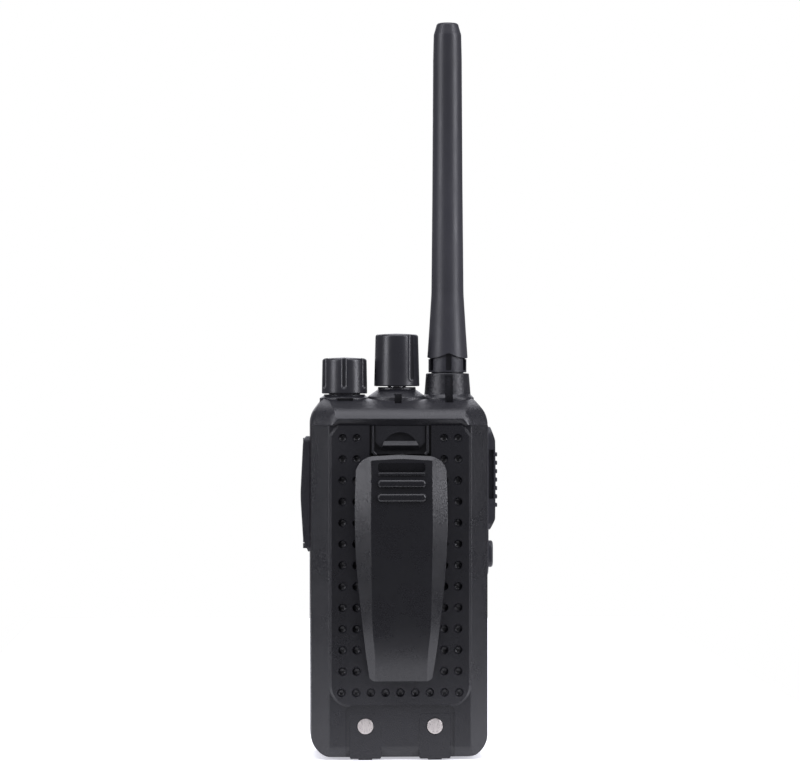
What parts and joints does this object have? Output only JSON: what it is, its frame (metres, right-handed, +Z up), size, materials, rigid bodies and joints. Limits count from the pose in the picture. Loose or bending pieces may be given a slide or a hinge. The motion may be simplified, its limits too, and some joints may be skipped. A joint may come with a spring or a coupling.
{
  "type": "portable two-way radio",
  "caption": "Hand-held two-way radio with removable battery, belt clip, screw-in whip antenna, turning volume and channel knobs, side talk button and socket cover.",
  "frame": {"origin": "centre of the flat base that the radio stands on", "axes": "+Z up along the antenna, front with the speaker towards -Y, battery and belt clip towards +Y, talk button on the -X side"},
  "size_m": [0.064, 0.0446, 0.2382],
  "materials": {
    "housing_plastic": "fine moulded texture, charcoal black",
    "bezel_plastic": "fine moulded texture",
    "battery_plastic": "fine moulded texture, charcoal black",
    "latch_plastic": "satin",
    "clip_plastic": "satin with fine grain",
    "knob_plastic": "semi-gloss",
    "antenna_rubber": "satin moulded rubber",
    "antenna_plastic": "satin",
    "button_rubber": "matte rubber",
    "seal_rubber": "matte rubber",
    "foam_seal": "closed-cell foam",
    "cover_plastic": "fine moulded texture",
    "jack_plastic": "matte",
    "brass_metal": "nickel-bright brass",
    "copper_wire": "bright copper-plated wire",
    "steel_wire": "ground steel",
    "steel_sheet": "tinned sheet",
    "steel_screw": "dark zinc plating",
    "spring_wire": "spring steel",
    "control_metal": "plated",
    "contact_metal": "bright nickel plating",
    "contact_gold": "gold-flashed spring bronze",
    "die_cast_metal": "as-cast aluminium",
    "magnet_metal": "coated magnet",
    "speaker_cloth": "fine black mesh cloth",
    "cone_film": "polymer film",
    "circuit_board": "green solder resist",
    "chip_plastic": "moulded epoxy",
    "cell_wrap": "blue shrink film",
    "lens_plastic": "translucent lens"
  },
  "bodies": {
    "radio_body": {"front_housing": "housing_plastic", "chassis": "die_cast_metal", "speaker_cloth": "speaker_cloth", "speaker_seal": "foam_seal", "speaker_frame": "steel_sheet", "speaker_cone": "cone_film", "speaker_magnet": "magnet_metal", "microphone": "steel_sheet", "microphone_boot": "seal_rubber", "main_board": "circuit_board", "board_components": "chip_plastic", "rf_shield": "steel_sheet", "board_screws": "steel_screw", "chassis_screws": "steel_screw", "terminal_block": "jack_plastic", "battery_terminals": "contact_gold", "housing_gasket": "seal_rubber", "side_bezel": "bezel_plastic", "side_key_board": "circuit_board", "talk_switch": "chip_plastic", "side_key_switch": "chip_plastic", "accessory_jack": "jack_plastic", "accessory_cover_pin": "steel_wire", "channel_switch": "control_metal", "volume_potentiometer": "control_metal", "control_nuts": "steel_screw", "control_seals": "seal_rubber", "antenna_socket": "brass_metal", "antenna_socket_nut": "brass_metal", "status_window": "lens_plastic"},
    "channel_knob": {"channel_knob": "knob_plastic", "channel_shaft": "steel_wire"},
    "volume_knob": {"volume_knob": "knob_plastic", "volume_shaft": "steel_wire"},
    "antenna": {"antenna_sleeve": "antenna_rubber", "antenna_base_ring": "antenna_plastic", "antenna_connector": "brass_metal", "antenna_radiator": "copper_wire"},
    "talk_button": {"talk_button": "button_rubber", "talk_plunger": "button_rubber"},
    "side_key": {"side_key": "button_rubber"},
    "accessory_cover": {"accessory_cover": "cover_plastic", "accessory_cover_seal": "seal_rubber"},
    "battery_pack": {"battery_case": "battery_plastic", "battery_lid": "battery_plastic", "battery_cell": "cell_wrap", "battery_cell_pad": "foam_seal", "battery_board": "circuit_board", "charge_contacts": "contact_metal", "battery_contacts": "contact_gold", "clip_bracket": "clip_plastic", "clip_screws": "steel_screw", "clip_pin": "steel_wire", "clip_spring": "spring_wire", "latch_spring": "spring_wire"},
    "battery_latch": {"battery_latch": "latch_plastic"},
    "belt_clip": {"belt_clip": "clip_plastic"}
  },
  "joints": [
    {"name": "channel_knob_turn", "type": "hinge", "parent": "radio_body", "child": "channel_knob", "pos_m": [0.00025, -0.002, 0.12], "axis": [0, 0, -1], "range_deg": [0, 337.5]},
    {"name": "volume_knob_turn", "type": "hinge", "parent": "radio_body", "child": "volume_knob", "pos_m": [0.0173, -0.002, 0.12], "axis": [0, 0, -1], "range_deg": [0, 290]},
    {"name": "antenna_unscrew", "type": "hinge", "parent": "radio_body", "child": "antenna", "pos_m": [-0.0163, -0.002, 0.12], "axis": [0, 0, 1], "range_deg": [0, 1800]},
    {"name": "talk_press", "type": "slide", "parent": "radio_body", "child": "talk_button", "axis": [1, 0, 0], "range_m": [0, 0.0012], "stiffness_N_per_m": 800, "springref_m": -0.001},
    {"name": "side_key_press", "type": "slide", "parent": "radio_body", "child": "side_key", "axis": [1, 0, 0], "range_m": [0, 0.0008], "stiffness_N_per_m": 800, "springref_m": -0.001},
    {"name": "accessory_cover_open", "type": "hinge", "parent": "radio_body", "child": "accessory_cover", "pos_m": [0.02975, -0.009, 0.08475], "axis": [0, 0, -1], "range_deg": [0, 110]},
    {"name": "battery_release", "type": "slide", "parent": "radio_body", "child": "battery_pack", "axis": [0, 1, 0], "range_m": [0, 0.025]},
    {"name": "battery_latch_slide", "type": "slide", "parent": "battery_pack", "child": "battery_latch", "axis": [0, 0, -1], "range_m": [0, 0.002], "stiffness_N_per_m": 600, "springref_m": -0.002, "deforming": ["latch_spring"]},
    {"name": "belt_clip_open", "type": "hinge", "parent": "battery_pack", "child": "belt_clip", "pos_m": [0, 0.021, 0.086], "axis": [1, 0, 0], "range_deg": [0, 13], "stiffness_Nm_per_rad": 0.5, "springref_deg": -8.59}
  ]
}
